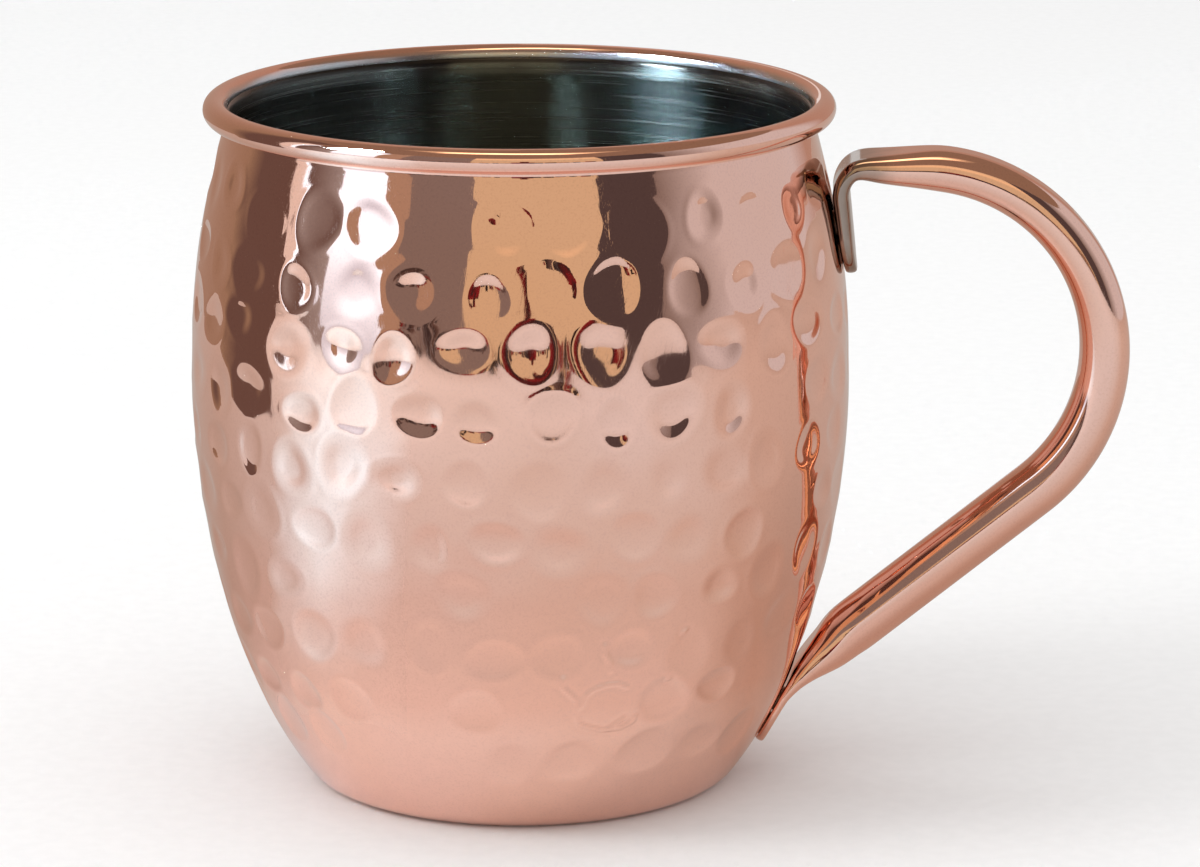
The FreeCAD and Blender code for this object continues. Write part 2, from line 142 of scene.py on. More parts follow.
# Scuff low on the front, where a blow tore the skin: creases to the right of its middle and above it, in mm
SCUFF_TURN = math.radians(16.2)
SCUFF_HEIGHT = 19.6 * MM
SCUFF_REACH = 13 * MM
SCUFF_RIDGE = 0.2 * MM
SCUFF_WIDTH = 0.42 * MM
SCUFF_CREASES = (
    ((-3.3, 0.2), (-2.8, 2.1), (-1.6, 3.05), (0.0, 3.5), (1.4, 3.5), (2.8, 2.8)),
    ((-6.0, 4.9), (-6.1, 3.5), (-4.9, 2.3), (-4.0, 1.4), (-3.8, -1.2), (-3.3, -2.6)),
    ((-3.3, -2.6), (-1.6, -3.3), (0.2, -3.8), (2.6, -3.7), (4.2, -2.8), (4.4, -2.1)),
    ((0.9, -3.5), (1.9, -2.8), (2.8, -2.1)),
    ((0.2, 5.4), (0.2, 6.8), (-0.7, 8.2), (-0.8, 9.6)),
    ((8.8, 3.0), (9.1, 3.1)),
    ((10.3, 9.9), (10.9, 10.3)))

# Camera
CAMERA_TURN = math.radians(4)              # the camera stands this far round from the -Y side
CAMERA_DISTANCE = 0.65774
CAMERA_HEIGHT = 0.20938
CAMERA_ASIDE = math.radians(0.94)          # it looks this far right of the mug's axis
CAMERA_PITCH = math.radians(13.85)
FOCAL_LENGTH = 148.8


# ---------------------------------------------------------------- outlines

def arc(centre, radius, first, last, step):
    """Points of an arc of the cup's section, both ends included."""
    count = max(2, math.ceil(abs(last - first) * radius / step))
    angles = np.linspace(first, last, count + 1)
    return np.stack([centre[0] + radius * np.cos(angles), centre[1] + radius * np.sin(angles)], axis=1)


def line(start, end, step):
    """Points of a straight of the cup's section, both ends included."""
    count = max(1, math.ceil(math.dist(start, end) / step))
    share = np.linspace(0, 1, count + 1)[:, None]
    return (1 - share) * np.array(start) + share * np.array(end)


def join(*runs):
    """Chain runs of points, dropping the repeated point where two meet."""
    return np.concatenate([runs[0]] + [run[1:] for run in runs[1:]])


def cup_side(inset, step):
    """Section of the cup's wall from the axis up to the curl, set in from the outside."""
    belly_centre = (BELLY_RADIUS - BARREL_ARC, BELLY_HEIGHT)
    low_centre = (belly_centre[0] + (BARREL_ARC - LOW_ARC) * math.cos(LOW_ARC_ANGLE),
                  belly_centre[1] + (BARREL_ARC - LOW_ARC) * math.sin(LOW_ARC_ANGLE))
    drop = low_centre[1] - FOOT_ARC
    foot = (low_centre[0] + math.sqrt((LOW_ARC - FOOT_ARC) ** 2 - drop ** 2), FOOT_ARC)
    foot_angle = math.atan2(foot[1] - low_centre[1], foot[0] - low_centre[0])
    neck = CURL_REACH - CURL_RADIUS + SHELL_SHEET - inset
    top_angle = math.acos((neck - belly_centre[0]) / (BARREL_ARC - inset))
    shoulder = belly_centre[1] + (BARREL_ARC - inset) * math.sin(top_angle)
    return join(
        line((0, inset), (foot[0], inset), PLAIN_STEP),
        arc(foot, FOOT_ARC - inset, -math.pi / 2, foot_angle, min(step, 0.5 * MM)),
        arc(low_centre, LOW_ARC - inset, foot_angle, LOW_ARC_ANGLE, step),
        arc(belly_centre, BARREL_ARC - inset, LOW_ARC_ANGLE, top_angle, step),
        line((neck, shoulder), (neck, RIM_HEIGHT), step))


def travelled(route):
    """Length of a route from its start to each of its points."""
    return np.concatenate([[0], np.cumsum(np.linalg.norm(np.diff(route, axis=0), axis=1))])


def outward_normals(outline):
    """Unit normals of a section whose outside lies on the right of its direction."""
    along = np.gradient(outline, axis=0)
    along /= np.linalg.norm(along, axis=1)[:, None]
    return np.stack([along[:, 1], -along[:, 0]], axis=1)


# ---------------------------------------------------------------- meshes

def spin(name, outline, segments, sink=None):
    """Turn a closed section round the axis; sink holds how far each point is pushed in."""
    rows = outline[1:-1]
    normals = outward_normals(outline)[1:-1]
    depth = np.zeros((len(rows), segments)) if sink is None else sink[1:-1]
    turn = np.arange(segments) * 2 * math.pi / segments
    radius = rows[:, :1] - depth * normals[:, :1]
    height = rows[:, 1:] - depth * normals[:, 1:]
    ring = np.stack([radius * np.cos(turn), radius * np.sin(turn), height], axis=2).reshape(-1, 3)
    poles = [(0, 0, outline[0][1]), (0, 0, outline[-1][1])]
    here = np.arange(segments)
    after = np.roll(here, -1)
    base = np.arange(len(rows) - 1)[:, None] * segments
    quads = np.stack([base + here, base + after, base + segments + after, base + segments + here],
                     axis=2).reshape(-1, 4).tolist()
    first_pole = len(ring)
    last_row = (len(rows) - 1) * segments
    fans = [(first_pole, int(b), int(a)) for a, b in zip(here, after)]
    fans += [(first_pole + 1, int(last_row + a), int(last_row + b)) for a, b in zip(here, after)]
    mesh = bpy.data.meshes.new(name)
    mesh.from_pydata(np.concatenate([ring, poles]).tolist(), [], quads + fans)
    mesh.shade_smooth()
    return add_object(name, mesh)


def add_object(name, mesh):
    """Put a mesh in the scene under its piece's name."""
    piece = bpy.data.objects.new(name, mesh)
    bpy.context.scene.collection.objects.link(piece)
    return piece


# ---------------------------------------------------------------- hammer marks

def hammer_marks(outline, along):
    """List the blows: place along the wall and round it, radius, depth, softness, stretch, skirt, slant."""
    rng = random.Random(MARK_SEED)
    on_barrel = outline[:, 0] > BELLY_RADIUS / 2
    top = np.interp(TOP_ROW_HEIGHT, outline[on_barrel, 1], along[on_barrel])
    marks = []
    for row, phase in enumerate(ROW_PHASES):
        place = top - row * ROW_PITCH
        radius = np.interp(place, along, outline[:, 0])
        count = round(2 * math.pi * radius / MARK_SPACING)
        for number in range(count):
            missed = rng.random() < MISSED_BLOWS
            turn = math.radians(phase) + CAMERA_TURN - math.pi / 2 + number * 2 * math.pi / count
            mark = (place + rng.gauss(0, ROW_WANDER), turn + rng.gauss(0, MARK_WANDER) / radius,
                    MARK_RADIUS * rng.uniform(0.8, 1.14),
                    MARK_DEPTH * rng.uniform(0.55, 1.25) * ROW_DEPTHS[row],
                    rng.uniform(0.25, 0.85) * ROW_SOFTNESS[row], rng.uniform(0.88, 1.12),
                    rng.uniform(0.2, MOST_DRAG), rng.uniform(0, 2 * math.pi))
            if not missed and not under_tab(mark, outline, along):
                marks.append(mark)
    return marks


def under_tab(mark, outline, along):
    """Tell whether a blow would fall under one of the handle's tabs, which sit on plain wall."""
    place, turn, radius = mark[:3]
    height = np.interp(place, along, outline[:, 1])
    reach = np.interp(place, along, outline[:, 0])
    beside = abs(math.remainder(turn, 2 * math.pi)) * reach < radius + TAB_MARGIN
    for spots in ("upper_weld_spots", "lower_weld_spots"):
        low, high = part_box(spots)
        if beside and low[2] - radius < height < high[2] + radius:
            return True
    return False


def press_marks(outline, along, marks, segments):
    """Depth of the hammered face under every point of the turned section."""
    bowls = np.zeros((len(outline), segments))
    skirts = np.zeros((len(outline), segments))
    step = 2 * math.pi / segments
    for place, turn, radius, depth, soft, stretch, drag, slant in marks:
        far = SKIRT_REACH * radius * 1.5
        rows = np.nonzero((abs(along - place) < far) & (outline[:, 0] > BELLY_RADIUS / 2))[0]
        reach = np.interp(place, along, outline[:, 0])
        half = math.ceil(far / reach / step)
        columns = np.arange(round(turn / step) - half, round(turn / step) + half + 1)
        aside = (columns * step - turn) * outline[rows, :1] * stretch
        above = (along[rows] - place)[:, None] / stretch
        facing = np.arctan2(above, aside)
        uneven = 1 + 0.05 * np.cos(2 * facing + slant) + 0.035 * np.cos(3 * facing + 2 * slant)
        distance = np.hypot(aside, above) / radius * uneven
        ball = (radius ** 2 + depth ** 2) / (2 * depth)
        bowl = np.sqrt(ball ** 2 - (np.minimum(distance, 1) * radius) ** 2) - (ball - depth)
        fade = np.clip((1 - distance) / (soft + 0.001), 0, 1)
        bowl *= fade * fade * (3 - 2 * fade) * soft + (1 - soft)
        block = np.ix_(rows, columns % segments)
        bowls[block] = np.maximum(bowls[block], bowl)
        skirts[block] += drag * SKIRT_DEPTH * np.exp(-(distance * 1.6 / SKIRT_REACH) ** 2)
        lip = np.exp(-((distance - 1 - LIP_WIDTH) / LIP_WIDTH) ** 2)
        skirts[block] -= (MOST_DRAG - drag) * LIP_HEIGHT * lip
    return bowls + skirts


def scuff(outline, along, segments):
    """Raised creases of torn skin, each between two shallow grooves."""
    on_barrel = outline[:, 0] > BELLY_RADIUS / 2
    place = np.interp(SCUFF_HEIGHT, outline[on_barrel, 1], along[on_barrel])
    rows = np.nonzero(abs(along - place) < SCUFF_REACH)[0]
    turn = SCUFF_TURN + CAMERA_TURN - math.pi / 2
    step = 2 * math.pi / segments
    half = math.ceil(SCUFF_REACH / (BELLY_RADIUS / 2) / step)
    columns = np.arange(round(turn / step) - half, round(turn / step) + half + 1)
    aside = (columns * step - turn) * outline[rows, :1]
    above = np.broadcast_to((along[rows] - place)[:, None], aside.shape)
    near = np.full(aside.shape, SCUFF_REACH)
    for crease in SCUFF_CREASES:
        for start, end in zip(np.array(crease) * MM, np.array(crease[1:]) * MM):
            run = end - start
            right, up = aside - start[0], above - start[1]
            share = np.clip((right * run[0] + up * run[1]) / (run @ run), 0, 1)
            near = np.minimum(near, np.hypot(right - share * run[0], up - share * run[1]))
    face = np.zeros((len(outline), segments))
    far = (near / SCUFF_WIDTH) ** 2
    face[np.ix_(rows, columns % segments)] = SCUFF_RIDGE * (2 * far - 1) * np.exp(-far)
    return face


def unevenness(outline, along, segments):
    """Slow waves of the beaten sheet, a few hundredths of a millimetre, always inward."""
    rng = random.Random(MARK_SEED + 1)
    turn = np.arange(segments) * 2 * math.pi / segments
    waves = np.zeros((len(outline), segments))
    for _ in range(WAVE_COUNT):
        lobes = rng.randint(4, 21)
        rise = rng.uniform(-1, 1) * 2 * math.pi / WAVE_LENGTH
        shift = rng.uniform(0, 2 * math.pi)
        waves += np.sin(lobes * turn[None, :] + rise * along[:, None] + shift)
    waves = WAVE_HEIGHT * np.maximum(waves / math.sqrt(WAVE_COUNT / 2) * 0.7 + 1.6, 0)
    above_foot = np.clip((outline[:, 1] - PLAIN_FOOT) / FOOT_FADE, 0, 1)
    return waves * (above_foot * below_neck(outline))[:, None]


def below_neck(outline):
    """Share, from 0 at the plain neck to 1 lower down, by which the wall is beaten."""
    return np.clip((RIM_HEIGHT - PLAIN_NECK - outline[:, 1]) / NECK_FADE, 0, 1)


# ---------------------------------------------------------------- pieces

def build_shell():
    """Copper cup with its hammered face and rolled rim, replacing the smooth CAD shell."""
    outside = cup_side(0, FINE_STEP)
    centre = (CURL_REACH, RIM_HEIGHT)
    cut = math.pi - CURL_SWEEP
    under_curl = arc(centre, CURL_RADIUS - SHELL_SHEET, math.pi, cut, CURL_STEP * CURL_RADIUS)
    over_curl = arc(centre, CURL_RADIUS, cut, math.pi, CURL_STEP * CURL_RADIUS)
    inside = seam_face(SHELL_SHEET)[::-1]
    outline = np.concatenate([outside, under_curl[1:], over_curl, inside[1:]])

    along = travelled(outside)
    marks = hammer_marks(outside, along)
    face = press_marks(outside, along, marks, SPIN_SEGMENTS)
    face = DEPTH_LIMIT * np.tanh((face + unevenness(outside, along, SPIN_SEGMENTS)) / DEPTH_LIMIT)
    face += scuff(outside, along, SPIN_SEGMENTS)
    sink = np.zeros((len(outline), SPIN_SEGMENTS))
    sink[:len(outside)] = face
    shell = spin("hammered_shell", outline, SPIN_SEGMENTS, sink)
    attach(shell, "root")
    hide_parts("outer_shell")
    return shell


def seam_face(inset):
    """Hidden face between the two sheets, set in further below the neck, where marks dent the copper."""
    face = cup_side(inset, PLAIN_STEP)
    return face - (SEAM_INSET * below_neck(face))[:, None] * outward_normals(face)


def build_lining():
    """Steel lining that thins out into the rolled rim, replacing the CAD liner with a smoother mesh."""
    outside = seam_face(SHELL_SHEET + SEAM_GAP)
    inside = cup_side(SHELL_SHEET + LINER_SHEET, LINER_STEP)[::-1]
    thinned = np.clip((inside[:, 1] - RIM_HEIGHT) / LIP_LENGTH + 1, 0, 1)
    inside[:, 0] += 0.9 * LINER_SHEET * thinned ** 2
    lining = spin("brushed_lining", np.concatenate([outside, inside]), LINER_SEGMENTS)
    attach(lining, "root")
    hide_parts("steel_liner")
    return lining


def heading(turn):
    """Unit direction in the handle's plane after turning down from level by some degrees."""
    return np.array([math.cos(math.radians(turn)), -math.sin(math.radians(turn))])


def swing(start, end, start_turn, end_turn):
    """Smooth curve that leaves one point and reaches another in the given directions."""
    start, end = np.array(start), np.array(end)
    pull = np.linalg.norm(end - start)
    share = np.linspace(0, 1, max(3, math.ceil(pull / TUBE_STEP)) + 1)[:, None]
    ahead = share ** 2 * (3 - 2 * share)
    leaving = share * (1 - share) ** 2 * pull * heading(start_turn)
    reaching = share ** 2 * (share - 1) * pull * heading(end_turn)
    return (1 - ahead) * start + ahead * end + leaving + reaching


def tube_route():
    """Centre line of the handle from the upper tab's end to the lower tab's, with the tube's depth."""
    high_turn = -90 - HIGH_TAB_LEAN
    low_turn = 90 + LOW_TAB_LEAN
    straight_turn = 90 + LOOP_LOW_ANGLE
    high_top = np.array(HIGH_TAB) + HIGH_TAB_LENGTH * heading(high_turn)
    low_top = np.array(LOW_TAB) - LOW_TAB_LENGTH * heading(low_turn)
    loop = arc(LOOP_CENTRE, LOOP_RADIUS, math.radians(LOOP_HIGH_ANGLE), -math.radians(LOOP_LOW_ANGLE),
               TUBE_STEP)
    straight_end = loop[-1] + STRAIGHT_LENGTH * heading(straight_turn)
    runs = [
        (line(HIGH_TAB, high_top, TUBE_STEP), BEND_DEPTH),
        (swing(high_top, BEND, high_turn, -BEND_RISE), BEND_DEPTH),
        (swing(BEND, NECK, -BEND_RISE, NECK_TURN), NECK_DEPTH),
        (swing(NECK, loop[0], NECK_TURN, 90 - LOOP_HIGH_ANGLE), LOOP_HIGH_DEPTH),
        (loop, LOOP_LOW_DEPTH),
        (line(loop[-1], straight_end, TUBE_STEP), LOOP_LOW_DEPTH),
        (swing(straight_end, SQUEEZE, straight_turn, straight_turn), SQUEEZE_DEPTH),
        (swing(SQUEEZE, PINCH, straight_turn, PINCH_TURN), PINCH_DEPTH),
        (swing(PINCH, low_top, PINCH_TURN, low_turn), LOW_TAB_DEPTH),
        (line(low_top, LOW_TAB, TUBE_STEP), LOW_TAB_DEPTH)]
    route = join(*[run for run, _ in runs])
    passed = travelled(route)
    marks = np.cumsum([0] + [travelled(run)[-1] for run, _ in runs])
    depth = np.interp(passed, marks, [HIGH_TAB_DEPTH] + [depth for _, depth in runs])
    return route, passed, depth


def soften(values, passed, reach):
    """Average values over a reach either side, so that nothing changes suddenly along the tube."""
    weights = np.clip(1 - abs(passed[:, None] - passed[None, :]) / reach, 0, 1)
    return weights @ values / weights.sum(axis=1)


def tube_section(depth, width, bow):
    """Points across and along the depth of a pressed tube's section, bowed by so much per width squared."""
    corner = np.linspace(-math.pi / 2, math.pi / 2, TUBE_SIDES // 4 + 1)
    radius = min(depth, width) / 2
    flat = width / 2 - radius
    side = np.stack([flat + radius * np.cos(corner), depth / 2 * np.sin(corner)], axis=1)
    top = np.linspace(side[-1], side[-1] * (-1, 1), TUBE_SIDES // 4 + 1)[1:-1]
    half = np.concatenate([side, top])
    section = np.concatenate([half, -half])
    section[:, 1] += bow * section[:, 0] ** 2
    return section


def build_handle():
    """Handle: one bent tube, pressed oval, with flattened round-ended tabs that lie round the wall."""
    route, passed, depth = tube_route()
    end_steps = HIGH_TAB_DEPTH * (1 - np.cos(np.linspace(0.05, math.pi / 2, END_STEPS)))
    middle_steps = np.arange(end_steps[-1], passed[-1] - end_steps[-1], TUBE_STEP)[1:]
    places = np.concatenate([end_steps, middle_steps, passed[-1] - end_steps[::-1]])
    depth = soften(np.interp(places, passed, depth), places, DEPTH_REACH)
    width = depth + math.pi * (TUBE_ROUND - depth) / 2
    to_end = np.minimum(places, passed[-1] - places)
    depth *= np.sqrt(1 - np.clip(1 - 2 * to_end / depth, 0, 1) ** 2)
    width *= np.sqrt(1 - np.clip(1 - 2 * to_end / width, 0, 1) ** 2)
    along = [np.interp(places, passed, np.gradient(route[:, axis], passed)) for axis in (0, 1)]
    along = np.stack([soften(part, places, HEADING_REACH) for part in along], axis=1)
    along /= np.linalg.norm(along, axis=1)[:, None]
    on_high_tab = np.clip((HIGH_TAB_LENGTH + TAB_FADE - places) / TAB_FADE, 0, 1)
    on_low_tab = np.clip((LOW_TAB_LENGTH + TAB_FADE - (passed[-1] - places)) / TAB_FADE, 0, 1)
    bow = on_high_tab / (2 * HIGH_TAB[0]) - on_low_tab / (2 * LOW_TAB[0])

    rings = []
    for number, at in enumerate(places):
        centre = [np.interp(at, passed, route[:, axis]) for axis in (0, 1)]
        section = tube_section(depth[number], width[number], bow[number])
        ahead, rise = along[number]
        rings.append([(centre[0] - rise * deep, across, centre[1] + ahead * deep)
                      for across, deep in section])
    handle = skin_rings("tube_handle", rings)
    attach(handle, "root")
    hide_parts("handle_tube")
    return handle


def skin_rings(name, rings):
    """Skin a row of rings with quads and close both ends with a fan."""
    sides = len(rings[0])
    points = [point for ring in rings for point in ring]
    faces = []
    for first in range(0, len(points) - sides, sides):
        for side in range(sides):
            after = (side + 1) % sides
            faces.append((first + side, first + after, first + sides + after, first + sides + side))
    for first, flip in ((0, True), (len(points) - sides, False)):
        middle = len(points)
        points.append(tuple(np.mean(points[first:first + sides], axis=0)))
        for side in range(sides):
            pair = (first + side, first + (side + 1) % sides)
            faces.append((middle, *(pair[::-1] if flip else pair)))
    mesh = bpy.data.meshes.new(name)
    mesh.from_pydata(points, [], faces)
    mesh.shade_smooth()
    return add_object(name, mesh)


# ---------------------------------------------------------------- node helpers

def new_material(name):
    """Make a node material and return it with its tree and its shader."""
    material = bpy.data.materials.new(name)
    material.use_nodes = True
    tree = material.node_tree
    return material, tree, tree.nodes["Principled BSDF"]


def node(tree, kind, inputs=(), **settings):
    """Add a node; a socket among the inputs is linked and any other value is set."""
    made = tree.nodes.new(kind)
    for name, value in settings.items():
        setattr(made, name, value)
    for key, value in dict(inputs).items():
        feed(tree, made.inputs[key], value)
    return made


def feed(tree, socket, value):
    """Link a socket to an input, or set the input to a value."""
    if isinstance(value, bpy.types.NodeSocket):
        tree.links.new(value, socket)
    else:
        socket.default_value = value


def math_node(tree, operation, first, second=0.0, third=0.0):
    """Join up to three values with one operation."""
    return node(tree, "ShaderNodeMath", {0: first, 1: second, 2: third}, operation=operation).outputs[0]


def remap(tree, value, low, high, to_low=0.0, to_high=1.0):
    """Map a range of a value smoothly on to another range, held at both ends."""
    return node(tree, "ShaderNodeMapRange",
                {"Value": value, "From Min": low, "From Max": high, "To Min": to_low, "To Max": to_high},
                interpolation_type="SMOOTHSTEP").outputs["Result"]


def noise(tree, vector, scale, detail=2.0, roughness=0.5):
    """Smooth noise from 0 to 1, with so many features per metre."""
    return node(tree, "ShaderNodeTexNoise",
                {"Vector": vector, "Scale": scale, "Detail": detail, "Roughness": roughness}).outputs["Fac"]


def stretched(tree, vector, scale, turn):
    """Turn a position and scale it by a different amount along each axis."""
    return node(tree, "ShaderNodeMapping", {"Vector": vector, "Scale": scale, "Rotation": turn}).outputs[0]


def mix_colour(tree, share, first, second):
    """Blend from the first colour to the second as the share goes from 0 to 1."""
    mixer = node(tree, "ShaderNodeMix", data_type="RGBA")
    feed(tree, mixer.inputs["Factor"], share)
    feed(tree, mixer.inputs["A"], first)
    feed(tree, mixer.inputs["B"], second)
    return next(out for out in mixer.outputs if out.type == "RGBA")


def mug_position(tree):
    """Position on the mug, in metres."""
    return node(tree, "ShaderNodeTexCoord").outputs["Object"]


def distance_from_axis(tree, position):
    """Distance of a position from the mug's axis."""
    flat = node(tree, "ShaderNodeVectorMath", {0: position, 1: (1, 1, 0)}, operation="MULTIPLY").outputs[0]
    return node(tree, "ShaderNodeVectorMath", {0: flat}, operation="LENGTH").outputs["Value"]


# ---------------------------------------------------------------- materials

COPPER = (0.93, 0.565, 0.450, 1)
COPPER_WARM = (0.92, 0.54, 0.41, 1)
COPPER_DULL = (0.83, 0.49, 0.39, 1)
# copper made darker close to the wall on the handle's upper bend and tab
NEAR_WALL_DARK = (0.27, 0.22, 0.18, 1)
STEEL = (0.50, 0.51, 0.51, 1)
LINING = (0.31, 0.33, 0.305, 1)
LINING_DARK = (0.25, 0.265, 0.245, 1)
# painted shade: near-black steel in the crevice where the lining runs into the rolled rim
PAINTED_LIP_SHADE = (0.05, 0.045, 0.04, 1)
WELD = (0.62, 0.36, 0.26, 1)
WELD_SCORCHED = (0.36, 0.20, 0.16, 1)
NEAR_WALL_DARK_REACH = (BEND[0] + 3 * MM, BEND[0] + 11 * MM)          # from where it fades to where it ends
NEAR_WALL_DARK_HEIGHT = (HIGH_TAB[1] - 4 * MM, HIGH_TAB[1])
NEAR_WALL_DARK_RAGGED = 6 * MM
BARE_REACH = (CURL_REACH - 1.5 * MM, CURL_REACH - 0.7 * MM)    # from bare steel to whole copper
BARE_HEIGHT = (RIM_HEIGHT - 0.6 * MM, RIM_HEIGHT - 0.2 * MM)
BARE_RAGGED = 0.5 * MM
PAINTED_LIP_SHADE_HEIGHT = (RIM_HEIGHT - 1.2 * MM, RIM_HEIGHT - 0.5 * MM)  # from clean steel to painted shade where the lining runs into the rim
SCRATCH_TURNS = ((0.3, 0.2, 0), (1.1, 0.5, 0.4), (0.1, 1.5, 0.9))
SCRATCH_SCALE = (6000, 6000, 60)


def hairlines(tree, position):
    """Curling hairline scratches: stretched noise in several directions, cut to thin lines."""
    swirl = node(tree, "ShaderNodeTexNoise",
                 {"Vector": position, "Scale": 22.0, "Detail": 1.0}).outputs["Color"]
    bend = node(tree, "ShaderNodeVectorMath", {0: swirl, 1: (0.5, 0.5, 0.5)}, operation="SUBTRACT").outputs[0]
    bend = node(tree, "ShaderNodeVectorMath", {0: bend, "Scale": 0.03}, operation="SCALE").outputs[0]
    curled = node(tree, "ShaderNodeVectorMath", {0: position, 1: bend}, operation="ADD").outputs[0]
    total = None
    for turn in SCRATCH_TURNS:
        streaks = noise(tree, stretched(tree, curled, SCRATCH_SCALE, turn), 1.0, 1.0)
        lines = remap(tree, streaks, 0.65, 0.73)
        total = lines if total is None else math_node(tree, "MAXIMUM", total, lines)
    return total


def copper_material(name, finish):
    """Polished copper: faint pink and orange drifts, fine speckle, hairlines, a soft polish haze."""
    material, tree, shader = new_material(name)
    position = mug_position(tree)
    drift = remap(tree, noise(tree, position, 28.0, 3.0), 0.35, 0.7)
    colour = mix_colour(tree, drift, COPPER, COPPER_WARM)
    speckle = remap(tree, noise(tree, position, 3400.0, 2.0), 0.45, 0.75, 0.0, 0.6)
    colour = mix_colour(tree, speckle, colour, COPPER_DULL)
    lines = hairlines(tree, position)
    haze = remap(tree, noise(tree, position, 60.0, 4.0), 0.3, 0.75, finish["polish"], finish["haze"])
    roughness = math_node(tree, "MULTIPLY_ADD", lines, finish["line_haze"], haze)
    if finish["bare_crest"]:
        bare = bare_crest(tree, position)
        colour = mix_colour(tree, bare, colour, STEEL)
        roughness = math_node(tree, "MAXIMUM", roughness, math_node(tree, "MULTIPLY", bare, 0.3))
    if finish["near_wall_dark"]:
        colour = darken_near_wall(tree, position, colour)
    skin = noise(tree, position, 900.0, 2.0)
    height = math_node(tree, "MULTIPLY_ADD", lines, -finish["line_depth"], math_node(
        tree, "MULTIPLY", skin, finish["skin"]))
    bump = node(tree, "ShaderNodeBump", {"Height": height, "Distance": 0.02 * MM, "Strength": 1.0})
    feed(tree, shader.inputs["Base Color"], colour)
    feed(tree, shader.inputs["Roughness"], roughness)
    feed(tree, shader.inputs["Normal"], bump.outputs[0])
    shader.inputs["Metallic"].default_value = 1.0
    return material


def darken_near_wall(tree, position, colour):
    """The copper is darker close to the wall, on the upper bend and the upper tab, with a ragged edge."""
    parts = node(tree, "ShaderNodeSeparateXYZ", {0: position})
    blotches = noise(tree, position, 260.0, 4.0)
    ragged = math_node(tree, "MULTIPLY_ADD", blotches, NEAR_WALL_DARK_RAGGED, parts.outputs["X"])
    near_wall = remap(tree, ragged, *NEAR_WALL_DARK_REACH, 0.9, 0.0)
    high = remap(tree, parts.outputs["Z"], *NEAR_WALL_DARK_HEIGHT)
    return mix_colour(tree, math_node(tree, "MULTIPLY", near_wall, high), colour, NEAR_WALL_DARK)


def bare_crest(tree, position):
    """Where the copper thins out on the inner side of the rolled rim and leaves the steel bare."""
    reach = distance_from_axis(tree, position)
    ragged = math_node(tree, "MULTIPLY_ADD", noise(tree, position, 160.0, 3.0), BARE_RAGGED, reach)
    inside = remap(tree, ragged, *BARE_REACH, 1.0, 0.0)
    height = node(tree, "ShaderNodeSeparateXYZ", {0: position}).outputs["Z"]
    above = remap(tree, height, *BARE_HEIGHT)
    return math_node(tree, "MULTIPLY", inside, above)


def steel_material():
    """Steel brushed round the mug: fine rings in its colour, roughness and surface, darkened by painted shade
    just under the rolled rim.
    """
    material, tree, shader = new_material("brushed_steel")
    position = mug_position(tree)
    parts = node(tree, "ShaderNodeSeparateXYZ", {0: position})
    height = parts.outputs["Z"]
    across = math_node(tree, "SUBTRACT", height, distance_from_axis(tree, position))
    rings = node(tree, "ShaderNodeCombineXYZ", {
        "X": math_node(tree, "MULTIPLY", parts.outputs["X"], 25.0),
        "Y": math_node(tree, "MULTIPLY", parts.outputs["Y"], 25.0),
        "Z": math_node(tree, "MULTIPLY", across, 3600.0)}).outputs[0]
    brushing = noise(tree, rings, 1.0, 3.0, 0.6)
    broad = noise(tree, position, 30.0, 2.0)
    shade = math_node(tree, "MULTIPLY_ADD", broad, 0.4, math_node(tree, "MULTIPLY", brushing, 0.6))
    steel = mix_colour(tree, remap(tree, shade, 0.3, 0.7), LINING_DARK, LINING)
    # painted shade: the steel turns near black just under the rolled rim
    lip_shaded = remap(tree, height, *PAINTED_LIP_SHADE_HEIGHT)
    feed(tree, shader.inputs["Base Color"], mix_colour(tree, lip_shaded, steel, PAINTED_LIP_SHADE))
    feed(tree, shader.inputs["Roughness"], remap(tree, brushing, 0.3, 0.7, 0.21, 0.28))
    bump = node(tree, "ShaderNodeBump", {"Height": brushing, "Distance": 0.004 * MM, "Strength": 1.0})
    feed(tree, shader.inputs["Normal"], bump.outputs[0])
    tangent = node(tree, "ShaderNodeTangent", direction_type="RADIAL", axis="Z")
    feed(tree, shader.inputs["Tangent"], tangent.outputs[0])
    shader.inputs["Metallic"].default_value = 1.0
    shader.inputs["Anisotropic"].default_value = 0.95
    shader.inputs["Anisotropic Rotation"].default_value = 0.25
    return material


def weld_material():
    """Spot-weld metal: dull copper with heat tints and a pitted skin."""
    material, tree, shader = new_material("weld_metal")
    position = mug_position(tree)
    tint = remap(tree, noise(tree, position, 700.0, 3.0), 0.35, 0.65)
    feed(tree, shader.inputs["Base Color"], mix_colour(tree, tint, WELD, WELD_SCORCHED))
    feed(tree, shader.inputs["Roughness"], remap(tree, noise(tree, position, 1500.0), 0.3, 0.7, 0.3, 0.5))
    pits = noise(tree, position, 2500.0, 3.0)
    bump = node(tree, "ShaderNodeBump", {"Height": pits, "Distance": 0.05 * MM, "Strength": 1.0})
    feed(tree, shader.inputs["Normal"], bump.outputs[0])
    shader.inputs["Metallic"].default_value = 1.0
    return material


def dress(piece, material):
    """Put one material in every slot of a piece."""
    if not piece.material_slots:
        piece.data.materials.append(material)
    for slot in piece.material_slots:
        slot.material = material


# ---------------------------------------------------------------- studio

WALL_FAR = 1.6                             # distance and height of the ring of cards
WALL_HEIGHT = 1.3
FLOOR_RADIUS = 3 * WALL_FAR
FLOOR_COLOUR = (0.88, 0.88, 0.88, 1)
FLOOR_PALER = (0.90, 0.90, 0.90, 1)

